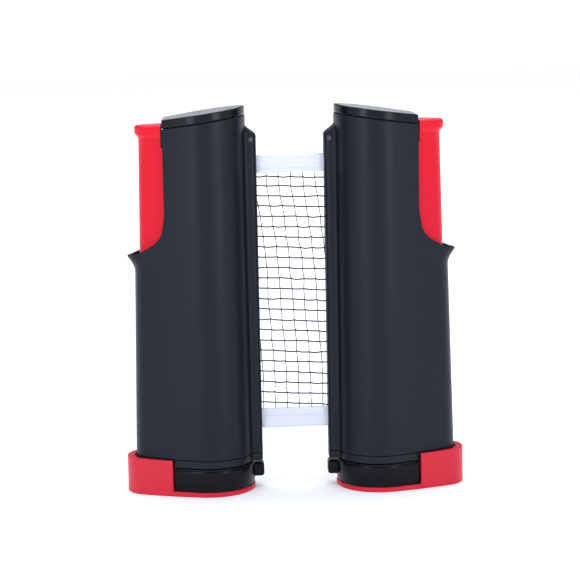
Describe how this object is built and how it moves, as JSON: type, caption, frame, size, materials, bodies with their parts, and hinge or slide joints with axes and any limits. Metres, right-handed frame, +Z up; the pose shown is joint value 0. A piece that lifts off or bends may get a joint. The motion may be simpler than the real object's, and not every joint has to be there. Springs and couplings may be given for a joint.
{
  "type": "retractable table tennis net set",
  "caption": "Two spring-closed table clamp posts with red grips and a self-winding net with white tapes between them.",
  "frame": {"origin": "midway between the two posts, on the ground under the feet", "axes": "+X along the net towards the post that the net is fixed in, +Z up the posts; the front is -Y"},
  "size_m": [0.1828, 0.047, 0.207],
  "materials": {
    "housing_black": "fine satin moulding",
    "pad_black": "smooth, slightly glossy rubber",
    "clamp_red": "semi-gloss moulding",
    "tape_white": "folded woven tape, stitched",
    "net_black": "knotted black twine",
    "steel": "plain steel",
    "spring_steel": "drawn spring wire"
  },
  "bodies": {
    "left_post": {"left_housing": "housing_black", "left_cap": "housing_black", "left_end_cover": "housing_black", "left_cover_screws": "steel", "left_nose_pin": "steel", "left_spring_guide": "steel", "left_clamp_spring": "spring_steel", "reel_spindle": "steel", "reel_spring": "spring_steel"},
    "left_jaw": {"left_slider": "clamp_red", "left_foot": "clamp_red", "left_jaw_pad": "pad_black", "left_foot_screws": "steel"},
    "reel": {"reel_tube": "housing_black", "reel_top_bush": "housing_black", "reel_bottom_bush": "housing_black", "net_roll": "net_black"},
    "right_post": {"right_housing": "housing_black", "right_cap": "housing_black", "right_end_cover": "housing_black", "right_cover_screws": "steel", "right_nose_pin": "steel", "right_spring_guide": "steel", "right_clamp_spring": "spring_steel", "net_mesh": "net_black", "net_top_tape": "tape_white", "net_bottom_tape": "tape_white", "net_hem": "tape_white", "net_anchor_rod": "steel"},
    "right_jaw": {"right_slider": "clamp_red", "right_foot": "clamp_red", "right_jaw_pad": "pad_black", "right_foot_screws": "steel"}
  },
  "joints": [
    {"name": "net_extension", "type": "slide", "parent": "left_post", "child": "right_post", "axis": [1, 0, 0], "range_m": [0, 1.65], "stiffness_N_per_m": 1, "springref_m": -1.2, "deforming": ["net_mesh", "net_top_tape", "net_bottom_tape"]},
    {"name": "left_clamp", "type": "slide", "parent": "left_post", "child": "left_jaw", "axis": [0, 0, -1], "range_m": [0, 0.042], "stiffness_N_per_m": 600, "springref_m": -0.02, "deforming": ["left_clamp_spring"]},
    {"name": "right_clamp", "type": "slide", "parent": "right_post", "child": "right_jaw", "axis": [0, 0, -1], "range_m": [0, 0.042], "stiffness_N_per_m": 600, "springref_m": -0.02, "deforming": ["right_clamp_spring"]},
    {"name": "reel_spin", "type": "hinge", "parent": "left_post", "child": "reel", "pos_m": [-0.0457, 0, 0.1065], "axis": [0, 0, 1], "continuous": true}
  ],
  "couplings": [
    {"joint": "reel_spin", "follows": "net_extension", "rad_per_m": -76}
  ]
}
